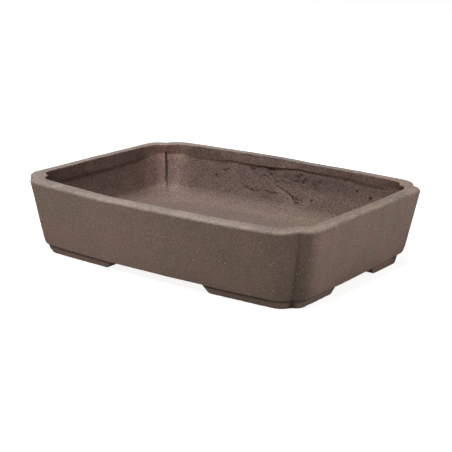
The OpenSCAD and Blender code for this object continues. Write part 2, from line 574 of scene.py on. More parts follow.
@dataclass
class Surface:
    """One closed surface before it becomes a mesh: places, faces and masks at each place."""

    points: Array
    quads: Array
    caps: list[Array] = field(default_factory=list)
    masks: dict[str, Array] = field(default_factory=dict)
    flow: Array | None = None

    @classmethod
    def ring_sweep(cls, grid: Array, masks: dict[str, Array], flow: Array) -> "Surface":
        """Closes a grid of stations by levels into a bar: the levels close on themselves and the
        first and last stations become flat ends.

        Args:
            grid: Places, stations by levels by 3, the levels running round the bar.
            masks: Masks as stations by levels, by name.
            flow: Distance along and across the surface, stations by levels by 3.

        Returns:
            The closed surface.
        """
        stations, levels = grid.shape[:2]
        number = np.arange(stations * levels).reshape(stations, levels)
        here, there = number[:-1], number[1:]
        quads = np.stack([here, there, np.roll(there, -1, 1), np.roll(here, -1, 1)], -1)
        return cls(
            points=grid.reshape(-1, 3),
            quads=quads.reshape(-1, 4),
            caps=[number[0], number[-1][::-1]],
            masks={name: mask.reshape(-1) for name, mask in masks.items()},
            flow=flow.reshape(-1, 3),
        )

    def welded(self) -> "Surface":
        """The surface with places that coincide made one."""
        keys = np.round(self.points / (0.001 * MM)).astype(np.int64)
        _, first, same = np.unique(keys, axis=0, return_index=True, return_inverse=True)
        same = same.reshape(-1)
        return replace(
            self,
            points=self.points[first],
            quads=same[self.quads],
            caps=[same[cap] for cap in self.caps],
            masks={name: mask[first] for name, mask in self.masks.items()},
            flow=self.flow[first],
        )

    def to_object(self, name: str, crease: float = math.radians(48)) -> bpy.types.Object:
        """Makes the Blender object, smooth except along creases.

        Args:
            name: The object's name.
            crease: Edges that turn more than this stay sharp.

        Returns:
            The object, in the scene, at the origin.
        """
        mesh = bpy.data.meshes.new(name)
        cap_sizes = [len(cap) for cap in self.caps]
        sizes = np.concatenate([np.full(len(self.quads), 4), cap_sizes]).astype(np.int32)
        starts = np.concatenate([[0], np.cumsum(sizes)[:-1]]).astype(np.int32)
        corners = np.concatenate([self.quads.reshape(-1), *self.caps]).astype(np.int32)
        mesh.vertices.add(len(self.points))
        mesh.vertices.foreach_set("co", self.points.astype(np.float32).reshape(-1))
        mesh.loops.add(len(corners))
        mesh.loops.foreach_set("vertex_index", corners)
        mesh.polygons.add(len(sizes))
        mesh.polygons.foreach_set("loop_start", starts)
        mesh.polygons.foreach_set("loop_total", sizes)
        mesh.update(calc_edges=True)
        mesh.validate()
        for mask_name, mask in self.masks.items():
            layer = mesh.attributes.new(mask_name, "FLOAT", "POINT")
            layer.data.foreach_set("value", mask.astype(np.float32))
        flow = mesh.attributes.new("flow", "FLOAT_VECTOR", "POINT")
        flow.data.foreach_set("vector", self.flow.astype(np.float32).reshape(-1))
        mesh.polygons.foreach_set("use_smooth", np.ones(len(sizes), bool))
        mesh.set_sharp_from_angle(angle=crease)
        made = bpy.data.objects.new(name, mesh)
        bpy.context.scene.collection.objects.link(made)
        return made


def flow_of(grid: Array) -> Array:
    """Distance along the stations and across the levels of a grid, as vectors (along, across, 0)."""
    along = np.linalg.norm(np.diff(grid[:, :1], axis=0), axis=-1).cumsum(0)
    across = np.linalg.norm(np.diff(grid[:1], axis=1), axis=-1).cumsum(1)
    along = np.concatenate([np.zeros((1, 1)), along], 0)
    across = np.concatenate([np.zeros((1, 1)), across], 1)
    shape = grid.shape[:2]
    return np.stack([np.broadcast_to(along, shape), np.broadcast_to(across, shape), np.zeros(shape)], -1)


# ---------------------------------------------------------------------------- clay pieces


@dataclass
class LipRun:
    """How a lip strip's lower edge runs from one notch to the other: its height below the rim,
    and how far it stands out from the wall, in millimetres at equally spaced knots from left to
    right as seen from outside the pot. torn is 0 where the edge was smoothed onto the wall and 1 where it was
    left torn."""

    height: tuple[float, ...]
    stand: tuple[float, ...]
    torn: tuple[float, ...] = (0.0, 0.3, 0.0)


@dataclass
class Potter:
    """What every sub-assembly needs to make its pieces."""

    shape: PotShape
    hand: PottersHand
    finishes: dict[str, bpy.types.Material]

    def dress(self, piece: bpy.types.Object, node: str, slot: str) -> bpy.types.Object:
        """Gives a piece its finish and its place in the frame, and reports it.

        Args:
            piece: The finished piece.
            node: The CAD node that it stands for.
            slot: The record's material slot.

        Returns:
            The piece.
        """
        piece.data.materials.append(self.finishes[slot])
        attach(piece, BODY)
        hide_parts(node)
        LOG.info("%s: %d faces", piece.name, len(piece.data.polygons))
        return piece

    def masks_of(self, levels: Levels, smooth: Array, crevice: Array) -> dict[str, Array]:
        """The masks of a piece's levels, with its dark cracks and its painted light and shade.

        Args:
            levels: The piece's lines.
            smooth: Their places on the smooth curves.
            crevice: How dark each place is, for dark cracks and for painted shade.

        Returns:
            Masks as stations by levels, by name.
        """
        masks = {"inside": levels.inside, "rim": levels.rim, "wear": levels.wear, "crevice": crevice}
        # Painted light and shade, with faint streaks, as a factor for the colour.
        masks["tone"] = self.hand.tone(smooth, levels.inside)
        return masks

    def bar(self, word: str, node: str, slot: str, smooth: Array, grid: Array, masks: dict[str, Array]) -> None:
        """Closes a piece's lines into one surface and dresses it.

        Args:
            word: The piece's name after "clay_".
            node: The CAD node that it stands for.
            slot: The record's material slot.
            smooth: Places on the smooth curves, stations by levels by 3.
            grid: The same places with the potter's unevenness.
            masks: Masks as stations by levels, by name.
        """
        surface = Surface.ring_sweep(grid, masks, flow_of(smooth))
        self.dress(surface.to_object(f"clay_{word}"), node, slot)


@dataclass
class WallSlabs(Potter):
    """The four wall slabs: rounded bottom edge, leaning outer face, worn rim and inside face."""

    middle_steps: dict[bool, int] = field(default_factory=lambda: {True: 340, False: 230})
    back_steps: int = 480
    lobe_steps: int = 34
    turn: float = PotShape.lobe_turn
    bottom_round: float = 3.0 * MM
    worn_in: float = 3.2 * MM
    worn_down: float = 1.0 * MM
    cracks: tuple[Crack, ...] = (
        Crack(((-9, 41.5), (1, 38.5), (8, 35), (12, 31), (18, 29), (27, 27.5)), 0.85, 1.2),
        Crack(((6, 36), (13, 34), (21, 32.5)), 0.7, 0.8),
        Crack(((-45, 36.5), (-37, 34.5), (-28, 35.5)), 0.65, 0.6),
        Crack(((-22, 36), (-15, 34.5), (-9, 35)), 0.75, 0.8),
        Crack(((-34, 28), (-24, 29), (-14, 29)), 0.6, 0.6),
        Crack(((-79, 24), (-66, 24.5)), 0.55, 0.3),
        Crack(((-73, 48), (-64, 49.5)), 0.5, 0.4),
    )
    pits: tuple[Pit, ...] = (
        Pit((-77.5, 43), 1.0),
        Pit((31, 35), 1.0),
        Pit((78, 50.5), 1.0),
        Pit((93, 47), 1.4),
        Pit((101, 45), 1.2),
    )

    def build(self) -> None:
        """Makes the four slabs."""
        for side in Side:
            self.slab(side)

    def profile(self, side: Side, stations: int) -> Levels:
        """A wall slab's section, from the bottom edge up the outside, over the rim and down inside."""
        s = self.shape
        quarter = np.radians(np.linspace(0, 90, 13))
        z = s.foot_h + self.bottom_round * (1 - np.cos(quarter))
        back = self.bottom_round * (1 - np.sin(quarter))
        bottom = self.level(side, stations, s.lean(z) + back, z, s.lobe(z) - back)

        z = np.linspace(z[-1], s.edge_z - self.worn_down, 56)[1:]
        outer = self.level(side, stations, s.lean(z), z, s.lobe(z))

        quarter = np.radians(np.linspace(0, 90, 11)[1:])
        inset = self.worn_in * (1 - np.cos(quarter))
        z = s.edge_z - self.worn_down + (s.top_z(self.worn_in) - s.edge_z + self.worn_down) * np.sin(quarter)
        radius = s.lobe_rim - s.lobe_in * inset / s.wall_t
        masks = {"rim": ease(np.degrees(quarter), 5, 65), "wear": np.sin(quarter), "inside": inset / s.rim_t}
        worn = self.level(side, stations, inset, z, radius, **masks)

        inset = np.linspace(self.worn_in, s.wall_t, 9)[1:]
        wear = ease(inset, 6 * MM, self.worn_in)
        radius = s.lobe_rim - s.lobe_in * inset / s.wall_t
        masks = {"rim": 1.0, "wear": wear, "inside": inset / s.rim_t}
        top = self.level(side, stations, inset, s.top_z(inset), radius, **masks)

        under_rim = s.height - 6 * MM
        neck = np.linspace(top.z[0, -1], under_rim, 4)[1:]
        z = np.concatenate([neck, np.linspace(under_rim, s.cove_z - 6 * MM, 54)[1:]])
        turn, radius = s.ridge(z)
        inner = self.level(side, stations, s.lean(z) + s.wall_t, z, radius, inside=s.inside_at(z), turn=turn)

        z = np.array([s.floor_z, s.foot_h])
        joint_inset = s.lean(s.floor_z) + s.wall_t
        joint = self.level(side, stations, joint_inset + 0 * z, z, s.lobe(s.floor_z) - s.lobe_in + 0 * z)
        return bottom.then(outer, worn, top, inner, joint)

    def level(
        self, side: Side, stations: int, inset: Array, z: Array, lobe: Array, **more: Array | float
    ) -> Levels:
        """Levels with the wall's bow and turn."""
        return Levels.of(
            stations, inset=inset, z=z, bow=self.shape.bow(z, side), lobe=lobe, **{"turn": self.turn, **more}
        )

    def torn(self, points: Array, inside: Array) -> tuple[Array, Array]:
        """The torn and split clay on the inside of the back wall.

        Args:
            points: Places on the slab.
            inside: 1 for its inside face.

        Returns:
            How deep each place sinks into the wall, and how dark it is.
        """
        x, z = points[..., 0], points[..., 2]
        drag = noise(points, (7 * MM, 400 * MM, 1.6 * MM), 23)
        drag = drag + 0.7 * noise(points, (2.6 * MM, 400 * MM, 1.1 * MM), 24)
        patch = ease(x, -75 * MM, -30 * MM) * ease(x, 60 * MM, 10 * MM) * ease(z, 40 * MM, 51 * MM)
        ripped = patch * np.clip(drag - 0.2, 0, 1)
        crumbs = np.clip(noise(points, 1.7 * MM, 25) + 0.5 * noise(points, 5 * MM, 26) - 0.42, 0, 1)
        spread = ease(x, -110 * MM, -20 * MM) * ease(z, 22 * MM, 46 * MM)
        depth = 0.8 * MM * ripped + 0.5 * MM * crumbs * spread
        dark = 0.9 * ripped + 1.1 * crumbs * (0.3 + 0.7 * patch) * spread
        ragged = points + 1.0 * MM * noise_vector(points, 2.4 * MM, 31)
        for crack in self.cracks:
            away = distance_to_path(ragged[..., 0] / MM, ragged[..., 2] / MM, crack.path)
            open_share = hill(away, 0, crack.width) * np.clip(0.9 + 0.6 * noise(points, 2.6 * MM, 37), 0, 1)
            depth = np.maximum(depth, crack.depth * MM * open_share)
            dark = np.maximum(dark, open_share)
        for pit in self.pits:
            away = np.hypot(points[..., 0] / MM - pit.place[0], points[..., 2] / MM - pit.place[1])
            dark = np.maximum(dark, 1.8 * hill(away, 0, pit.radius))
        return depth * inside, np.clip(dark, 0, 1) * inside

    def slab(self, side: Side) -> None:
        """Makes one wall slab."""
        middle = self.back_steps if side is Side.BACK else self.middle_steps[side.is_long]
        stations = Stations.along(middle, self.lobe_steps)
        levels = self.profile(side, len(stations))
        smooth = side_grid(self.shape, levels, stations.share, stations.curl, side)
        grid = self.hand.moved(smooth, levels.inside)
        crevice = self.hand.split(smooth, levels.inside)
        if side is Side.BACK:
            depth, dark = self.torn(smooth, levels.inside)
            grid[..., 1] += depth
            crevice = np.maximum(crevice, dark)
        ridge = hill(self.hand.mitre_distance(smooth), -0.4 * MM, 0.9 * MM) * (smooth[..., 1] > 0)
        low = np.where(smooth[..., 0] > 0, 48 * MM, 58 * MM)
        chipped = ridge * levels.inside * np.clip((smooth[..., 2] - low) / (3 * MM), 0, 1)
        masks = self.masks_of(levels, smooth, crevice)
        masks["wear"] = np.maximum(levels.wear, chipped)
        self.bar(f"wall_{side.word}", f"wall_{side.word}", "wall_clay", smooth, grid, masks)


@dataclass
class LipStrips(Potter):
    """The strips that thicken the rim inside, with a wandering, ragged lower edge."""

    middle_steps: dict[bool, int] = field(default_factory=lambda: {True: 340, False: 230})
    lobe_steps: int = 34
    edge_round: float = 1.1 * MM
    feather: float = 5 * MM
    torn_feather: float = 1.4 * MM
    sunk: float = 0.12 * MM
    runs: dict[Side, LipRun] = field(
        default_factory=lambda: {
            Side.BACK: LipRun(
                (14, 12.5, 10.5, 9, 11, 12.5, 14.5, 15),
                (1.1, 1.3, 1.4, 1.6, 2.0, 1.3, 0.9, 0.7),
                (0.0, 0.1, 0.2, 0.6, 0.9, 0.4, 0.1, 0.0),
            ),
            Side.LEFT: LipRun((14, 15, 15.5, 15, 14), (0.8, 1.1, 1.3, 1.2, 1.0)),
            Side.FRONT: LipRun((13, 12, 14, 13, 11.5, 13), (2, 1.6, 2.2, 2.4, 1.6, 2)),
            Side.RIGHT: LipRun((13, 14, 12, 13.5), (1.6, 2.2, 1.8, 2.4)),
        }
    )

    def build(self) -> None:
        """Makes the four strips."""
        for side in Side:
            self.strip(side)

    def profile(self, side: Side, stations: Stations) -> tuple[Levels, Array]:
        """A strip's section and its shadow line.

        Args:
            side: Which side.
            stations: Where the sections lie.

        Returns:
            The levels, up the strip's back on the wall, over the rim, down its face and in under
            its lower edge to the wall, and a mask of how dark that lower edge is.
        """
        s, n = self.shape, len(stations)
        place = stations.share * 0.86 + stations.curl * 0.14
        run = self.runs[side]
        line = np.stack([place * 0.15, 0 * place, 0 * place], -1)
        ragged = 0.5 * noise(line, 7 * MM, 41 + side.value)
        ragged = ragged + run_of(place, run.torn) * 0.5 * noise(line, 1.7 * MM, 51)
        low = (s.height - run_of(place, run.height) * MM + 1.0 * MM * ragged)[:, None]
        corner = ease(np.abs(stations.share), 1.0, 0.84) * ease(np.abs(stations.curl), 0.7, 0)
        stand = (run_of(place, run.stand) * MM * corner + 0.15 * MM)[:, None]
        feather = (self.feather + (self.torn_feather - self.feather) * run_of(place, run.torn))[:, None]
        ledge_in = s.lean(low + feather) + s.wall_t + stand

        up = np.linspace(0, 1, 5)
        back_z = low + (s.top_z(s.wall_t) - low) * up
        sunk = self.sunk * (1 - up)
        back = self.level(side, n, s.lean(back_z) + s.wall_t - sunk, back_z, 0, inside=s.inside_at(back_z))

        inset = np.linspace(s.wall_t, s.rim_t - self.edge_round, 6)[1:]
        slim = (inset - s.wall_t) / (s.rim_t - s.wall_t)
        top = self.level(side, n, inset, s.top_z(inset), slim, rim=1.0, inside=inset / s.rim_t)

        quarter = np.radians(np.linspace(0, 90, 8)[1:])
        inset = s.rim_t - self.edge_round * (1 - np.sin(quarter))
        z = s.height - self.edge_round * (1 - np.cos(quarter))
        rim = ease(np.degrees(quarter), 80, 10)
        edge = self.level(side, n, inset, z, 1, rim=rim, inside=1.0, wear=0.5 * np.sin(2 * quarter) ** 2)

        down = np.linspace(0, 1, 20)[1:]
        belly_z = z[-1] + (low + feather - z[-1]) * down
        belly_in = s.rim_t + (ledge_in - s.rim_t) * down**1.2
        face = self.level(side, n, belly_in, belly_z, 1 - down * 0.9, inside=1.0)

        under = np.linspace(0, 1, 11)[1:]
        under_z = low + feather * (1 - under)
        wall_in = s.lean(under_z) + s.wall_t
        under_in = wall_in + (ledge_in - wall_in) * (1 - ease(under, 0, 1)) - self.sunk * under
        tuck = self.level(side, n, under_in, under_z, 0.1 * (1 - under), inside=1.0)
        levels = back.then(top, edge, face, tuck)
        dark = np.zeros_like(levels.z)
        # Painted shadow under the strip's lower edge, stronger where the edge stands out further.
        dark[:, -10:] = np.clip(stand / (3.4 * MM), 0, 1) * hill(under, 0.8, 0.4)
        return levels, dark

    def level(
        self, side: Side, stations: int, inset: Array, z: Array, slim: Array | float, **more: Array | float
    ) -> Levels:
        """Levels with the inside's bow and lobes; slim is the share of the rim's narrowing."""
        s = self.shape
        z = np.asarray(z, float)
        bow = s.bow(z, side) + s.rim_slim * slim
        turn, radius = s.ridge(z)
        return Levels.of(stations, inset=inset, z=z, bow=bow, lobe=radius, turn=turn, **more)

    def strip(self, side: Side) -> None:
        """Makes one lip strip."""
        stations = Stations.along(self.middle_steps[side.is_long], self.lobe_steps)
        levels, dark = self.profile(side, stations)
        smooth = side_grid(self.shape, levels, stations.share, stations.curl, side)
        grid = self.hand.moved(smooth, levels.inside)
        # The painted shadow under the ledge goes into the same mask as the split ridge's dark crack.
        crevice = np.maximum(self.hand.split(smooth, levels.inside), 0.35 * dark)
        masks = self.masks_of(levels, smooth, crevice)
        self.bar(f"lip_{side.word}", f"lip_{side.word}", "rim_clay", smooth, grid, masks)


@dataclass
class FloorCoils(Potter):
    """The coils pressed into the floor angle and smoothed with a finger to a hollow curve."""

    middle_steps: dict[bool, int] = field(default_factory=lambda: {True: 250, False: 170})
    lobe_steps: int = 30
    tuck: float = 0.12 * MM

    def build(self) -> None:
        """Makes the four coils."""
        for side in Side:
            self.coil(side)

    def coil(self, side: Side) -> None:
        """Makes one coil."""
        s = self.shape
        stations = Stations.along(self.middle_steps[side.is_long], self.lobe_steps)
        size = s.cove_z - s.floor_z
        quarter = np.radians(np.linspace(0, 90, 32))
        z = s.floor_z - self.tuck + size * (1 - np.sin(quarter))
        inset = s.lean(z) + s.wall_t - self.tuck + size * (1 - np.cos(quarter))
        hollow = self.level(side, len(stations), inset, z)
        z = np.linspace(s.floor_z - self.tuck, s.cove_z - 2 * self.tuck, 4)
        back = self.level(side, len(stations), s.lean(z) + s.wall_t - self.tuck * np.array([1, 2, 2, 2]), z)
        levels = back.then(hollow)
        smooth = side_grid(s, levels, stations.share, stations.curl, side)
        grid = self.hand.moved(smooth, levels.inside)
        masks = self.masks_of(levels, smooth, self.hand.split(smooth, levels.inside))
        self.bar(f"coil_{side.word}", f"cove_{side.word}", "coil_clay", smooth, grid, masks)

    def level(self, side: Side, stations: int, inset: Array, z: Array) -> Levels:
        """Levels with the inside's bow and lobes."""
        s = self.shape
        turn, radius = s.ridge(z)
        return Levels.of(stations, inset=inset, z=z, bow=s.bow(z, side), lobe=radius, turn=turn, inside=1.0)


@dataclass
class FloorSlab(Potter):
    """The floor slab with its drain and tie-wire holes, which come from the record's mounts."""

    middle_steps: int = 190
    row_steps: int = 118
    lobe_steps: int = 10
    hole_round: float = 1.0 * MM
    clear: float = 4.5 * MM
    blend_rings: int = 5

    def build(self) -> None:
        """Makes the slab."""
        surface = self.plate().welded()
        inside = surface.masks["inside"]
        surface.points = self.hand.moved(surface.points, inside)
        self.dress(surface.to_object("clay_floor_slab"), "floor_slab", "floor_clay")

    def outline(self, side: Side, stations: Stations) -> Array:
        """The slab's edge along one side, as stations by 2."""
        s = self.shape
        z = s.floor_z
        values = {"inset": s.lean(z) + s.wall_t, "lobe": s.lobe(z) - s.lobe_in, "turn": s.lobe_turn}
        levels = Levels.of(len(stations), z=z, bow=s.bow(z, side), **values)
        return side_grid(s, levels, stations.share, stations.curl, side)[:, 0, :2]

    def plan(self) -> Array:
        """The slab's plan as a grid of columns by rows by 2.

        Between the notches a column runs from the front edge to the back edge. Beyond them a row
        runs on to the short side's edge. The rows lie at the heights in y of the short side's
        stations, stretched with the bow of the long sides.
        """
        columns = Stations.along(self.middle_steps, self.lobe_steps)
        rows = Stations.along(self.row_steps, self.lobe_steps)
        front = self.outline(Side.FRONT, columns)
        end = self.outline(Side.RIGHT, rows)
        share = end[:, 1] / end[-1, 1]
        middle = np.stack(
            [np.broadcast_to(front[:, :1], (len(columns), len(rows))), -front[:, 1:] * share[None]], -1
        )
        beyond = np.linspace(0, 1, 7)[1:, None, None]
        last = middle[-1][None]
        right = last + beyond * (end[None] - last)
        left = right[::-1] * np.array([-1.0, 1.0])
        return np.concatenate([left, middle, right], 0)

    def holes(self) -> list[tuple[float, float, float]]:
        """The holes' places and radii, from the record's bores."""
        bores = [m for m in frame["record"]["mounts"] if m["kind"] == "bore"]
        return [(m["pos_m"][0], m["pos_m"][1], m["dims"]["r_mm"] * MM) for m in bores]

    def plate(self) -> Surface:
        """Top and underside as one plan at two heights, with an edge and a sleeve in each hole."""
        s = self.shape
        plan = self.plan()
        columns, rows = plan.shape[:2]
        number = np.arange(columns * rows).reshape(columns, rows)
        kept = np.ones((columns - 1, rows - 1), bool)
        sleeves = []
        for x, y, radius in self.holes():
            reach = radius + self.hole_round + self.clear
            near = (np.abs(plan[..., 0] - x) < reach) & (np.abs(plan[..., 1] - y) < reach)
            cols, rws = np.where(near.any(1))[0], np.where(near.any(0))[0]
            c0, c1, r0, r1 = cols[0], cols[-1], rws[0], rws[-1]
            kept[c0:c1, r0:r1] = False
            ring = np.concatenate(
                [number[c0:c1, r0], number[c1, r0:r1], number[c1:c0:-1, r1], number[c0, r1:r0:-1]]
            )
            sleeves.append(self.sleeve(plan.reshape(-1, 2)[ring], (x, y), radius))
        cells = np.stack([number[:-1, :-1], number[1:, :-1], number[1:, 1:], number[:-1, 1:]], -1)[kept]
        edge = np.concatenate([number[:-1, 0], number[-1, :-1], number[:0:-1, -1], number[0, :0:-1]])
        flat = plan.reshape(-1, 2)
        layers = [np.column_stack([flat, np.full(len(flat), z)]) for z in (s.floor_z, s.foot_h)]
        rim = flat[edge]
        rim_rings = [np.column_stack([rim, np.full(len(rim), z)]) for z in (s.foot_h, s.floor_z)]
        band, band_quads = ring_stack(np.stack(rim_rings))
        points, quads = [*layers, band], [cells, cells[:, ::-1] + len(flat), band_quads + 2 * len(flat)]
        count = 2 * len(flat) + len(band)
        for sleeve, sleeve_quads in sleeves:
            points.append(sleeve)
            quads.append(sleeve_quads + count)
            count += len(sleeve)
        places = np.concatenate(points)
        top = ease(places[:, 2], s.foot_h + 1 * MM, s.floor_z - 1 * MM)
        none = np.zeros(len(places))
        flow = np.column_stack([places[:, :2], none])
        masks = {"inside": top, "rim": none, "wear": none, "crevice": none, "tone": none + 1}
        return Surface(points=places, quads=np.concatenate(quads), masks=masks, flow=flow)

    def sleeve(self, ring: Array, centre: tuple[float, float], radius: float) -> tuple[Array, Array]:
        """The surface that joins the plate's top to its underside through a hole.

        Args:
            ring: The plate's places round the hole, in order, counter-clockwise.
            centre: The hole's middle.
            radius: The bore's radius.

        Returns:
            Places and faces: the ring eases to a circle, rounds over the edge, goes down the bore
            and comes out to the same ring below.
        """
        s, soft = self.shape, self.hole_round
        away = ring - np.array(centre)
        angle = np.arctan2(away[:, 1], away[:, 0])
        unit = np.stack([np.cos(angle), np.sin(angle)], -1)
        wide = np.array(centre) + unit * (radius + soft)
        blend = ease(np.linspace(0, 1, self.blend_rings + 1), 0, 1)[:, None, None]
        flat = ring[None] * (1 - blend) + wide[None] * blend
        quarter = np.radians(np.linspace(0, 90, 7)[1:])
        bore = np.array(centre) + unit[None] * (radius + soft * (1 - np.sin(quarter)))[:, None, None]
        drop = soft * (1 - np.cos(quarter))
        plans = np.concatenate([flat, bore, bore[-1:], bore[::-1][1:], flat[::-1]])
        middle = (s.floor_z + s.foot_h) / 2
        heights = np.concatenate(
            [
                np.full(len(flat), s.floor_z),
                s.floor_z - drop,
                [middle],
                s.foot_h + drop[::-1][1:],
                np.full(len(flat), s.foot_h),
            ]
        )
        z = np.broadcast_to(heights[:, None, None], (*plans.shape[:2], 1))
        return ring_stack(np.concatenate([plans, z], -1)[::-1])


def ring_stack(rings: Array) -> tuple[Array, Array]:
    """Joins closed rings, stacked in order, by quads.

    Args:
        rings: Rings by places by 3, each ring counter-clockwise seen from the side it rises to.

    Returns:
        Places and quads that face away from the rings' middle.
    """
    count, size = rings.shape[:2]
    number = np.arange(count * size).reshape(count, size)
    low, high = number[:-1], number[1:]
    quads = np.stack([low, np.roll(low, -1, 1), np.roll(high, -1, 1), high], -1)
    return rings.reshape(-1, 3), quads.reshape(-1, 4)


@dataclass
class CornerFeet(Potter):
    """The four L-shaped feet, which follow the notched corners and end in sloping cuts."""

    width: float = 13 * MM
    slope: float = 6.5 * MM
    draft: float = 1.2 * MM
    edge_round: float = 0.9 * MM
    arm_steps: int = 90
    lobe_steps: int = 22
    end_round: float = 1.6 * MM
    longer: dict[str, float] = field(default_factory=lambda: {"front_right": 5.0 * MM})

    def build(self) -> None:
        """Makes the four feet."""
        for name, mirror_x, mirror_y in (
            ("front_left", True, False),
            ("front_right", False, False),
            ("back_left", True, True),
            ("back_right", False, True),
        ):
            self.foot(name, mirror_x, mirror_y)

    def profile(self, side: Side, stations: int) -> Levels:
        """A foot's section: up its outer face, over its top, down its inner face, along its sole."""
        s, soft = self.shape, self.edge_round
        quarter = np.radians(np.linspace(0, 90, 8))
        z_outer = np.concatenate([soft * (1 - np.cos(quarter)), np.linspace(soft, s.foot_h, 9)[1:]])
        outer = s.foot_inset + self.draft * (1 - 2 * z_outer / s.foot_h)
        outer[: len(quarter)] += soft * (1 - np.sin(quarter))
        z_inner = np.concatenate([np.linspace(s.foot_h, soft, 7), soft * (1 - np.cos(quarter[::-1][1:]))])
        inner = s.foot_inset + self.width + 0 * z_inner
        inner[7:] -= soft * (1 - np.sin(quarter[::-1][1:]))
        inset = np.concatenate([outer, inner])
        z = np.concatenate([z_outer, z_inner])
        wear = ease(z, 2.2 * MM, 0.4 * MM)
        lobe = s.lobe_foot - s.lobe_in + 0.6 * MM * (s.foot_inset + self.width / 2 - inset) / self.width
        values = {"bow": s.bow(s.foot_h, side), "lobe": lobe, "turn": s.lobe_turn, "wear": wear}
        return Levels.of(stations, inset=inset, z=z, **values)

    def arm(self, side: Side, start: float) -> tuple[Array, Levels]:
        """One arm, from its cut end at +x to the notch, on the side that faces -Y.

        Args:
            side: A long or a short side, for the lengths.
            start: Distance of the cut from the middle of the side, at the top of the foot.

        Returns:
            Places of stations by levels, and the levels.
        """
        s = self.shape
        even = np.linspace(0, 1, self.arm_steps + 1)
        share = np.concatenate([even**1.3, np.ones(self.lobe_steps)])
        curl = np.concatenate([0 * even, np.linspace(0, 1, self.lobe_steps + 1)[1:]])
        levels = self.profile(side, len(share))
        length = s.half_l if side.is_long else s.half_w
        reach = length - levels.inset - levels.lobe * (1 - math.cos(s.lobe_turn) + math.sin(s.lobe_turn))
        cut = start + self.slope * (1 - levels.z / s.foot_h)
        along = cut + (reach - cut) * share[:, None]
        near_end = np.clip(1 - (along - cut) / self.end_round, 0, 1)
        pinch = self.end_round * (1 - np.sqrt(1 - (0.96 * near_end) ** 2))
        middle = s.foot_inset + self.width / 2
        levels.inset = levels.inset + np.sign(middle - levels.inset) * pinch
        sole = ease(levels.z, 3 * MM, 0)
        levels.z = levels.z + 0.55 * pinch * sole
        reach = length - levels.inset - levels.lobe * (1 - math.cos(s.lobe_turn) + math.sin(s.lobe_turn))
        curls = np.broadcast_to(curl[:, None], along.shape)
        return side_grid(s, levels, along / reach, curls, side), levels

    def foot(self, name: str, mirror_x: bool, mirror_y: bool) -> None:
        """Makes one foot: the arms of the front right corner, mirrored to the corner asked for."""
        long_arm, long_levels = self.arm(Side.FRONT, self.shape.foot_start_x)
        short_arm, short_levels = self.arm(Side.RIGHT, self.shape.foot_start_y - self.longer.get(name, 0.0))
        short_arm = short_arm[::-1] * np.array([1.0, -1.0, 1.0])
        smooth = np.concatenate([long_arm, short_arm[1:]])
        flip = np.array([-1.0 if mirror_x else 1.0, -1.0 if mirror_y else 1.0, 1.0])
        smooth = smooth * flip
        masks = {
            key: np.concatenate([getattr(long_levels, key), getattr(short_levels, key)[::-1][1:]])
            for key in ("inside", "rim", "wear")
        }
        if mirror_x != mirror_y:
            smooth = smooth[::-1]
            masks = {key: mask[::-1] for key, mask in masks.items()}
        # Painted shade: a dark band along the top of each foot under the body's overhang, a darker notch, and dark
        # cut ends, where shadow falls near the floor.
        height = self.shape.foot_h - smooth[..., 2]
        far = ease(smooth[..., 0], 135 * MM, 60 * MM)
        under = ease(height, (2.9 + 0.5 * far) * MM, (1.8 + 0.6 * far) * MM)
        notch = hill(self.hand.mitre_distance(smooth), 0, 2.4 * MM)
        masks["crevice"] = np.maximum(0.85 * under, 0.8 * notch)
        masks["crevice"][[0, 1, 2, -3, -2, -1]] = 0.8
        # Painted light: the feet are made lighter, the faces on the right more so.
        right_face = ease(self.hand.mitre_distance(smooth), 0, 8 * MM) * (smooth[..., 0] > 0)
        masks["tone"] = (1.3 + 0.45 * right_face) * self.hand.tone(smooth, masks["inside"])
        grid = self.hand.moved(smooth, masks["inside"])
        chips = np.clip(noise(smooth, 3.2 * MM, 53) - 0.35, 0, 1) * masks["wear"]
        grid[..., 2] += 0.7 * MM * chips
        self.bar(f"foot_{name}", f"foot_{name}", "foot_clay", smooth, grid, masks)


# ---------------------------------------------------------------------------- finishes


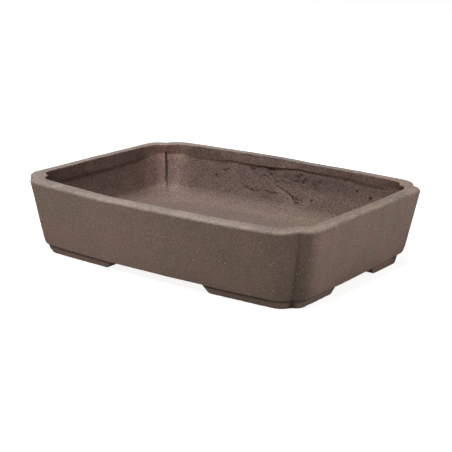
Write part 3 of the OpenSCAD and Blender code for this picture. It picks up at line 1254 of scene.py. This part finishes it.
class Graph:
    """Adds nodes to a shader tree, each to the right of the last, and links them."""

    def __init__(self, tree: bpy.types.NodeTree) -> None:
        """Starts on a tree."""
        self.tree = tree

    def node(self, kind: str, inputs: dict[str | int, object] | None = None, **settings: object) -> bpy.types.Node:
        """Adds a node.

        Args:
            kind: The node's type.
            inputs: Values or sockets for its inputs, by name or number.
            **settings: Its properties.

        Returns:
            The node.
        """
        made = self.tree.nodes.new(kind)
        made.location = (180 * len(self.tree.nodes), 0)
        for key, value in settings.items():
            setattr(made, key, value)
        for key, value in (inputs or {}).items():
            if isinstance(value, bpy.types.NodeSocket):
                self.tree.links.new(value, made.inputs[key])
            else:
                made.inputs[key].default_value = value
        return made

    def math(self, operation: str, *values: object, clamp: bool = False) -> bpy.types.NodeSocket:
        """A Math node's result."""
        made = self.node("ShaderNodeMath", dict(enumerate(values)), operation=operation, use_clamp=clamp)
        return made.outputs[0]

    def mix(self, share: object, low: object, high: object, blend: str = "MIX") -> bpy.types.NodeSocket:
        """A colour mix's result."""
        inputs = {0: share, 6: low, 7: high}
        made = self.node("ShaderNodeMix", inputs, data_type="RGBA", blend_type=blend)
        return made.outputs[2]

    def step(self, value: object, low: float, high: float) -> bpy.types.NodeSocket:
        """A smooth step of a value, from 0 at low to 1 at high."""
        made = self.node(
            "ShaderNodeMapRange",
            {"Value": value, "From Min": low, "From Max": high},
            interpolation_type="SMOOTHSTEP",
        )
        return made.outputs["Result"]

    def noise(self, vector: object, scale: object, detail: float = 3, rough: float = 0.55) -> bpy.types.NodeSocket:
        """A noise texture's value."""
        inputs = {"Vector": vector, "Scale": scale, "Detail": detail, "Roughness": rough}
        return self.node("ShaderNodeTexNoise", inputs).outputs["Fac"]

    def scaled(self, vector: object, by: tuple[float, float, float]) -> bpy.types.NodeSocket:
        """A vector multiplied axis by axis."""
        made = self.node("ShaderNodeVectorMath", {0: vector, 1: by}, operation="MULTIPLY")
        return made.outputs["Vector"]

    def shifted(self, vector: object, by: tuple[float, float, float]) -> bpy.types.NodeSocket:
        """A vector moved by a fixed step."""
        return self.node("ShaderNodeVectorMath", {0: vector, 1: by}, operation="ADD").outputs[0]

    def times(self, vector: object, gain: object) -> bpy.types.NodeSocket:
        """A vector or colour multiplied by one number."""
        return self.node("ShaderNodeVectorMath", {0: vector, "Scale": gain}, operation="SCALE").outputs[0]

    def ramp(self, base: float, value: object, slope: float) -> bpy.types.NodeSocket:
        """base + value * slope."""
        return self.math("ADD", base, self.math("MULTIPLY", value, slope))

    def group(self, tree: bpy.types.NodeTree, **inputs: object) -> bpy.types.Node:
        """A shared group with its own values."""
        return self.node("ShaderNodeGroup", inputs, node_tree=tree)

    def cells(self, vector: object, scale: object) -> tuple[bpy.types.NodeSocket, bpy.types.Node]:
        """A cell pattern's distance, and a node that gives each cell three values of its own."""
        made = self.node("ShaderNodeTexVoronoi", {"Vector": vector, "Scale": scale, "Randomness": 1.0})
        return made.outputs["Distance"], self.node("ShaderNodeSeparateColor", {0: made.outputs["Color"]})


def colour(red: int, green: int, blue: int) -> tuple[float, float, float, float]:
    """A colour given as screen values from 0 to 255, as Blender's linear colour."""
    share = np.array([red, green, blue]) / 255
    linear = np.where(share <= 0.04045, share / 12.92, ((share + 0.055) / 1.055) ** 2.4)
    return (*[float(v) for v in linear], 1.0)


class GroupMaker:
    """Makes the shader groups that all the finishes share, each once."""

    @staticmethod
    def start(
        name: str, inputs: dict[str, str], outputs: dict[str, str]
    ) -> tuple[Graph, dict[str, bpy.types.NodeSocket], bpy.types.Node]:
        """Starts a group.

        Args:
            name: The group's name.
            inputs: Socket types by name.
            outputs: Socket types by name.

        Returns:
            The graph, its input sockets by name and its output node.
        """
        tree = bpy.data.node_groups.new(name, "ShaderNodeTree")
        for socket, kind in inputs.items():
            tree.interface.new_socket(socket, in_out="INPUT", socket_type=f"NodeSocket{kind}")
        for socket, kind in outputs.items():
            tree.interface.new_socket(socket, in_out="OUTPUT", socket_type=f"NodeSocket{kind}")
        graph = Graph(tree)
        source = graph.node("NodeGroupInput")
        sink = graph.node("NodeGroupOutput")
        return graph, {s.name: s for s in source.outputs if s.name}, sink

    def mottle(self) -> bpy.types.NodeTree:
        """Soft patches of three clay tints, large ones broken up by small ones."""
        kinds = {"Vector": "Vector", "Base": "Color", "Cool": "Color", "Warm": "Color", "Amount": "Float"}
        g, at, sink = self.start("clay_mottle", kinds, {"Color": "Color", "Value": "Float"})
        large = g.noise(at["Vector"], 14, 3, 0.5)
        middle = g.noise(g.scaled(at["Vector"], (1, 1, 1.7)), 46, 4, 0.6)
        small = g.noise(at["Vector"], 260, 3, 0.6)
        cool = g.math("MULTIPLY", g.step(large, 0.46, 0.68), at["Amount"])
        warm = g.math("MULTIPLY", g.step(middle, 0.5, 0.74), at["Amount"])
        tint = g.mix(warm, g.mix(cool, at["Base"], at["Cool"]), at["Warm"])
        value = g.math("ADD", g.math("MULTIPLY", middle, 0.5), g.math("MULTIPLY", small, 0.5))
        g.tree.links.new(g.times(tint, g.ramp(0.80, value, 0.40)), sink.inputs["Color"])
        g.tree.links.new(value, sink.inputs["Value"])
        return g.tree

    def grog(self) -> bpy.types.NodeTree:
        """Coarse light and dark grains in the clay: a few of the cells of a fine cell pattern."""
        kinds = {"Vector": "Vector", "Color": "Color", "Light": "Color", "Dark": "Color"}
        kinds |= {"Size": "Float", "Share": "Float"}
        g, at, sink = self.start("clay_grog", kinds, {"Color": "Color", "Height": "Float"})
        tint, height = at["Color"], None
        for light, offset in ((True, (0.0, 0.0, 0.0)), (False, (0.31, 0.17, 0.73))):
            scale = g.math("DIVIDE", 1.0, g.math("MULTIPLY", at["Size"], 1.0 if light else 0.8))
            distance, lot = g.cells(g.shifted(at["Vector"], offset), scale)
            chosen = g.math("LESS_THAN", lot.outputs[0], at["Share"])
            width = g.ramp(0.12, lot.outputs[1], 0.12)
            round_share = g.math("SUBTRACT", 1.0, g.math("DIVIDE", distance, width), clamp=True)
            grain = g.math("MULTIPLY", g.step(round_share, 0.0, 0.45), chosen)
            grain = g.math("MULTIPLY", grain, g.ramp(0.35, lot.outputs[2], 0.65))
            tint = g.mix(grain, tint, at["Light"] if light else at["Dark"])
            signed = g.math("MULTIPLY", grain, 1.0 if light else -1.0)
            height = signed if height is None else g.math("ADD", height, signed)
        g.tree.links.new(tint, sink.inputs["Color"])
        g.tree.links.new(height, sink.inputs["Height"])
        return g.tree

    def pores(self) -> bpy.types.NodeTree:
        """Small open pores and the fine sandy grain of fired clay."""
        kinds = {"Vector": "Vector", "Size": "Float", "Share": "Float"}
        g, at, sink = self.start("clay_pores", kinds, {"Mask": "Float", "Height": "Float"})
        scale = g.math("DIVIDE", 1.0, at["Size"])
        distance, lot = g.cells(g.shifted(at["Vector"], (0.9, 0.4, 0.2)), scale)
        chosen = g.math("LESS_THAN", lot.outputs[0], at["Share"])
        width = g.ramp(0.10, lot.outputs[1], 0.22)
        round_share = g.math("SUBTRACT", 1.0, g.math("DIVIDE", distance, width), clamp=True)
        pore = g.math("MULTIPLY", g.step(round_share, 0.0, 0.6), chosen)
        sand = g.noise(at["Vector"], 1500, 3, 0.7)
        height = g.math("SUBTRACT", g.math("MULTIPLY", sand, 0.5), pore)
        g.tree.links.new(pore, sink.inputs["Mask"])
        g.tree.links.new(height, sink.inputs["Height"])
        return g.tree

    def sand(self) -> bpy.types.NodeTree:
        """The salt and pepper of single grains: two sizes of cells, each with its own brightness."""
        kinds = {"Vector": "Vector", "Size": "Float"}
        g, at, sink = self.start("clay_sand", kinds, {"Value": "Float"})
        total = 0.0
        for share, size, offset in ((0.85, 1.0, (0.2, 0.5, 0.8)), (0.15, 2.1, (0.6, 0.1, 0.3))):
            scale = g.math("DIVIDE", 1.0 / size, at["Size"])
            _, lot = g.cells(g.shifted(at["Vector"], offset), scale)
            signed = g.math("SUBTRACT", lot.outputs[0], 0.5)
            total = g.math("ADD", total, g.math("MULTIPLY", signed, 2 * share))
        g.tree.links.new(total, sink.inputs["Value"])
        return g.tree

    def wiped(self) -> bpy.types.NodeTree:
        """Streaks that a wet cloth or finger leaves along a surface."""
        kinds = {"Flow": "Vector", "Fine": "Float"}
        g, at, sink = self.start("clay_wiped", kinds, {"Value": "Float"})
        broad = g.noise(g.scaled(at["Flow"], (24, 240, 1)), 1.0, 2, 0.5)
        fine = g.noise(g.times(g.scaled(at["Flow"], (60, 600, 1)), at["Fine"]), 1.0, 2, 0.6)
        value = g.math("ADD", g.math("MULTIPLY", broad, 0.6), g.math("MULTIPLY", fine, 0.4))
        g.tree.links.new(value, sink.inputs["Value"])
        return g.tree


@dataclass(frozen=True)
class ClayFinish:
    """One finish of the fired clay: its tints and how strong each effect is."""

    slot: str
    outer: tuple[float, ...] = colour(137, 115, 103)
    outer_cool: tuple[float, ...] = colour(132, 115, 99)
    outer_warm: tuple[float, ...] = colour(140, 112, 103)
    inner: tuple[float, ...] = colour(134, 113, 106)
    inner_cool: tuple[float, ...] = colour(124, 106, 99)
    inner_warm: tuple[float, ...] = colour(146, 124, 114)
    floor: tuple[float, ...] = colour(146, 127, 118)
    floor_olive: tuple[float, ...] = colour(145, 128, 109)
    # The rim's tints are lighter than the walls' partly for its worn, wiped clay and partly as painted light from
    # above.
    rim: tuple[float, ...] = colour(178, 162, 152)
    rim_cool: tuple[float, ...] = colour(162, 150, 143)
    rim_warm: tuple[float, ...] = colour(192, 174, 161)
    rim_east: tuple[float, ...] = (0.85, 0.81, 0.77, 1.0)
    light_grain: tuple[float, ...] = colour(205, 184, 162)
    dark_grain: tuple[float, ...] = colour(62, 50, 45)
    # Dark colour of open pores, dark cracks and painted shade.
    crevice: tuple[float, ...] = colour(44, 34, 28)
    grain_size: float = 2.3 * MM
    grain_share: float = 0.34
    sand_size: float = 0.46 * MM
    sand_outer: float = 0.36
    sand_inner: float = 0.72
    sand_rim: float = 0.42
    pore_size: float = 2.2 * MM
    pore_share: float = 0.12
    roughness: float = 0.86
    relief: float = 0.22 * MM

    def material(self, groups: dict[str, bpy.types.NodeTree]) -> bpy.types.Material:
        """Builds the material.

        Args:
            groups: The shared shader groups, by name.

        Returns:
            The material, named after its slot.
        """
        made = bpy.data.materials.new(self.slot)
        made.use_nodes = True
        made.node_tree.nodes.clear()
        g = Graph(made.node_tree)
        place = g.node("ShaderNodeTexCoord").outputs["Object"]
        names = ("inside", "rim", "wear", "crevice", "tone")
        mask = {n: g.node("ShaderNodeAttribute", attribute_name=n).outputs["Fac"] for n in names}
        tint, value = self.clay_tint(g, groups, place, mask)
        grains = {"Light": self.light_grain, "Dark": self.dark_grain, "Size": self.grain_size}
        grog = g.group(groups["grog"], Vector=place, Color=tint, Share=self.grain_share, **grains)
        pores = g.group(groups["pores"], Vector=place, Size=self.pore_size, Share=self.pore_share)
        hole = g.math("MULTIPLY", pores.outputs["Mask"], 0.75)
        tint = g.mix(hole, grog.outputs["Color"], self.crevice)
        # Darkens cracks and paints shade in recesses, where the mask says.
        tint = g.mix(g.math("MULTIPLY", mask["crevice"], 0.85), tint, self.crevice)

        grain = g.math("MULTIPLY", grog.outputs["Height"], 0.5)
        relief = g.math("ADD", grain, pores.outputs["Height"])
        relief = g.math("ADD", relief, g.math("MULTIPLY", value, 0.8))
        bump = g.node("ShaderNodeBump", {"Height": relief, "Distance": self.relief, "Strength": 1.0})
        rough = g.ramp(self.roughness - 0.08, value, 0.16)
        inputs = {"Base Color": tint, "Roughness": rough, "Normal": bump.outputs[0], "Specular IOR Level": 0.28}
        shader = g.node("ShaderNodeBsdfPrincipled", inputs)
        output = g.node("ShaderNodeOutputMaterial")
        g.tree.links.new(shader.outputs[0], output.inputs[0])
        return made

    def clay_tint(
        self,
        g: Graph,
        groups: dict[str, bpy.types.NodeTree],
        place: bpy.types.NodeSocket,
        mask: dict[str, bpy.types.NodeSocket],
    ) -> tuple[bpy.types.NodeSocket, bpy.types.NodeSocket]:
        """The clay's colour with its painted light and shade, before grog, pores, dark cracks and painted shade.

        Args:
            g: The material's graph.
            groups: The shared shader groups, by name.
            place: Where the surface lies, in metres.
            mask: The masks, by name.

        Returns:
            The colour, and the outer clay's mottle, which also drives relief and roughness.
        """
        mottle = groups["mottle"]
        tints = (self.outer, self.outer_cool, self.outer_warm)
        outer = g.group(mottle, Vector=place, Amount=0.9, **dict(zip(MOTTLE_TINTS, tints)))
        tints = (self.inner, self.inner_cool, self.inner_warm)
        inner = g.group(mottle, Vector=place, Amount=0.8, **dict(zip(MOTTLE_TINTS, tints)))
        tints = (self.rim, self.rim_cool, self.rim_warm)
        rim = g.group(mottle, Vector=place, Amount=0.9, **dict(zip(MOTTLE_TINTS, tints)))
        flow = g.node("ShaderNodeAttribute", attribute_name="flow").outputs["Vector"]
        wiped = g.group(groups["wiped"], Flow=flow, Fine=1.0).outputs["Value"]
        axes = g.node("ShaderNodeSeparateXYZ", {0: place})
        east, height = axes.outputs[0], axes.outputs[2]

        floor_share = g.math("MULTIPLY", g.step(height, 34 * MM, 18 * MM), 0.8)
        olive = g.step(g.math("ADD", east, g.math("MULTIPLY", wiped, 0.08)), 0.02, 0.11)
        floor_tint = g.mix(olive, self.floor, self.floor_olive)
        floor_tint = g.times(floor_tint, g.ramp(0.80, wiped, 0.40))
        inner_tint = g.mix(floor_share, inner.outputs["Color"], floor_tint)
        tint = g.mix(mask["inside"], outer.outputs["Color"], inner_tint)

        rim_tint = g.times(rim.outputs["Color"], g.ramp(0.60, wiped, 0.80))
        rim_tint = g.mix(g.step(east, 0.06, 0.15), rim_tint, self.rim_east, "MULTIPLY")
        # The rim's top takes the lighter rim tint: worn clay, and painted light from above.
        tint = g.mix(g.math("MULTIPLY", mask["rim"], 0.95), tint, rim_tint)
        rubbed = g.math("MULTIPLY", mask["wear"], g.step(g.noise(place, 190, 5, 0.75), 0.47, 0.62))
        tint = g.mix(g.math("MULTIPLY", rubbed, 0.5), tint, self.light_grain)

        sand = g.group(groups["sand"], Vector=place, Size=self.sand_size).outputs["Value"]
        amount = g.ramp(self.sand_outer, mask["inside"], self.sand_inner - self.sand_outer)
        amount = g.math("MULTIPLY", amount, g.math("SUBTRACT", 1.0, g.math("MULTIPLY", floor_share, 0.35)))
        to_rim = g.math("MULTIPLY", mask["rim"], g.math("SUBTRACT", self.sand_rim, amount))
        amount = g.math("ADD", amount, to_rim)
        # Painted light and shade from its mask, left out on the rim's top.
        tone = g.mix(mask["rim"], mask["tone"], (1.0, 1.0, 1.0, 1.0))
        grainy = g.math("ADD", 1.0, g.math("MULTIPLY", sand, amount))
        return g.times(tint, g.math("MULTIPLY", tone, grainy)), outer.outputs["Value"]


def make_finishes() -> dict[str, bpy.types.Material]:
    """The finishes of the record's slots, by slot."""
    maker = GroupMaker()
    names = ("mottle", "grog", "pores", "sand", "wiped")
    groups = {name: getattr(maker, name)() for name in names}
    return {slot: ClayFinish(slot).material(groups) for slot in SLOTS}


# ---------------------------------------------------------------------------- the studio


@dataclass
class Studio:
    """Camera, pale floor and soft lights."""

    camera_place: tuple[float, float, float] = (0.6133, -0.8419, 0.3222)
    azimuth: float = math.radians(35.873)
    elevation: float = math.radians(15.846)
    roll: float = math.radians(0.905)
    lens: float = 98.34
    floor_shade: float = 0.8
    floor_seen: float = 0.88
    base_glow: float = 0.13
    right_glow: float = 0.38
    surround: float = 0.02
    gap: float = 0.02 * MM
    light_distance: float = 2.0
    light_size: float = 1.1
    softboxes: tuple[tuple[str, float, float, float], ...] = (
        ("top_softbox", 0, 88, 13.0),
        ("key_softbox", -8, 60, 20.0),
        ("right_softbox", 90, 38, 2.2),
    )

    def build(self) -> None:
        """Sets up the whole studio."""
        self.camera()
        self.floor()
        self.world()
        self.lights()
        bpy.context.scene.view_settings.view_transform = "Standard"

    def camera(self) -> None:
        """The camera, turned by azimuth and elevation towards the pot and rolled a little."""
        a, e = self.azimuth, self.elevation
        ahead = Vector((-math.sin(a) * math.cos(e), math.cos(a) * math.cos(e), -math.sin(e)))
        right = Vector((math.cos(a), math.sin(a), 0))
        up = right.cross(ahead)
        tilted_right = right * math.cos(self.roll) + up * math.sin(self.roll)
        tilted_up = up * math.cos(self.roll) - right * math.sin(self.roll)
        data = bpy.data.cameras.new("studio_camera")
        data.lens = self.lens
        data.clip_start = 0.05
        made = bpy.data.objects.new("studio_camera", data)
        turn = Matrix((tilted_right, tilted_up, -ahead)).transposed().to_4x4()
        made.matrix_world = Matrix.Translation(self.camera_place) @ turn
        bpy.context.scene.collection.objects.link(made)
        bpy.context.scene.camera = made

    def floor(self) -> None:
        """A wide pale floor that glows as backlit paper does, more to the eye than onto the pot."""
        mesh = bpy.data.meshes.new("studio_floor")
        r = 4.0
        z = -self.gap
        mesh.from_pydata([(-r, -r, z), (r, -r, z), (r, r, z), (-r, r, z)], [], [(0, 1, 2, 3)])
        made = bpy.data.objects.new("studio_floor", mesh)
        bpy.context.scene.collection.objects.link(made)
        paper = bpy.data.materials.new("studio_paper")
        paper.use_nodes = True
        graph = Graph(paper.node_tree)
        shader = paper.node_tree.nodes["Principled BSDF"]
        shader.inputs["Base Color"].default_value = (self.floor_shade, self.floor_shade, self.floor_shade, 1)
        shader.inputs["Roughness"].default_value = 1.0
        shader.inputs["Specular IOR Level"].default_value = 0.0
        shader.inputs["Emission Color"].default_value = (1, 1, 1, 1)
        seen = graph.node("ShaderNodeLightPath").outputs["Is Camera Ray"]
        place = graph.node("ShaderNodeTexCoord").outputs["Object"]
        east = graph.node("ShaderNodeSeparateXYZ", {0: place}).outputs[0]
        lamp = graph.ramp(self.base_glow, graph.step(east, 0.12, 0.3), self.right_glow)
        more = graph.math("SUBTRACT", self.floor_seen, lamp)
        glow = graph.math("ADD", lamp, graph.math("MULTIPLY", seen, more))
        graph.tree.links.new(glow, shader.inputs["Emission Strength"])
        mesh.materials.append(paper)
        made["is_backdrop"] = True

    def world(self) -> None:
        """A surround that is white to the eye and gives the pot only a little light."""
        world = bpy.data.worlds.new("studio_world")
        world.use_nodes = True
        graph = Graph(world.node_tree)
        seen = graph.node("ShaderNodeLightPath").outputs["Is Camera Ray"]
        strength = graph.math("ADD", self.surround, graph.math("MULTIPLY", seen, 1.0 - self.surround))
        back = world.node_tree.nodes["Background"]
        back.inputs["Color"].default_value = (1, 1, 1, 1)
        graph.tree.links.new(strength, back.inputs["Strength"])
        bpy.context.scene.world = world

    def lights(self) -> None:
        """Three broad soft lights: overhead, high at the front, and a weak one at the right."""
        for name, azimuth, elevation, power in self.softboxes:
            a, e = math.radians(azimuth), math.radians(elevation)
            away = Vector((math.cos(e) * math.sin(a), -math.cos(e) * math.cos(a), math.sin(e)))
            self.softbox(name, away * self.light_distance, power)

    def softbox(self, name: str, place: Vector, power: float) -> None:
        """A square area light that faces the pot.

        Args:
            name: Its name.
            place: Where it hangs.
            power: Its power in watts.
        """
        data = bpy.data.lights.new(name, "AREA")
        data.shape = "SQUARE"
        data.size = self.light_size
        data.energy = power
        made = bpy.data.objects.new(name, data)
        made.location = place
        made.rotation_euler = (-place).to_track_quat("-Z", "Y").to_euler()
        bpy.context.scene.collection.objects.link(made)


def main() -> None:
    """Builds the finishes, the clay pieces and the studio, in that order."""
    logging.basicConfig(level=logging.INFO, format="%(name)s: %(message)s")
    shape = PotShape.from_frame()
    hand = PottersHand(shape)
    finishes = make_finishes()
    for sub_assembly in (WallSlabs, LipStrips, FloorCoils, FloorSlab, CornerFeet):
        sub_assembly(shape, hand, finishes).build()
    Studio().build()


if __name__ == "__main__":
    main()
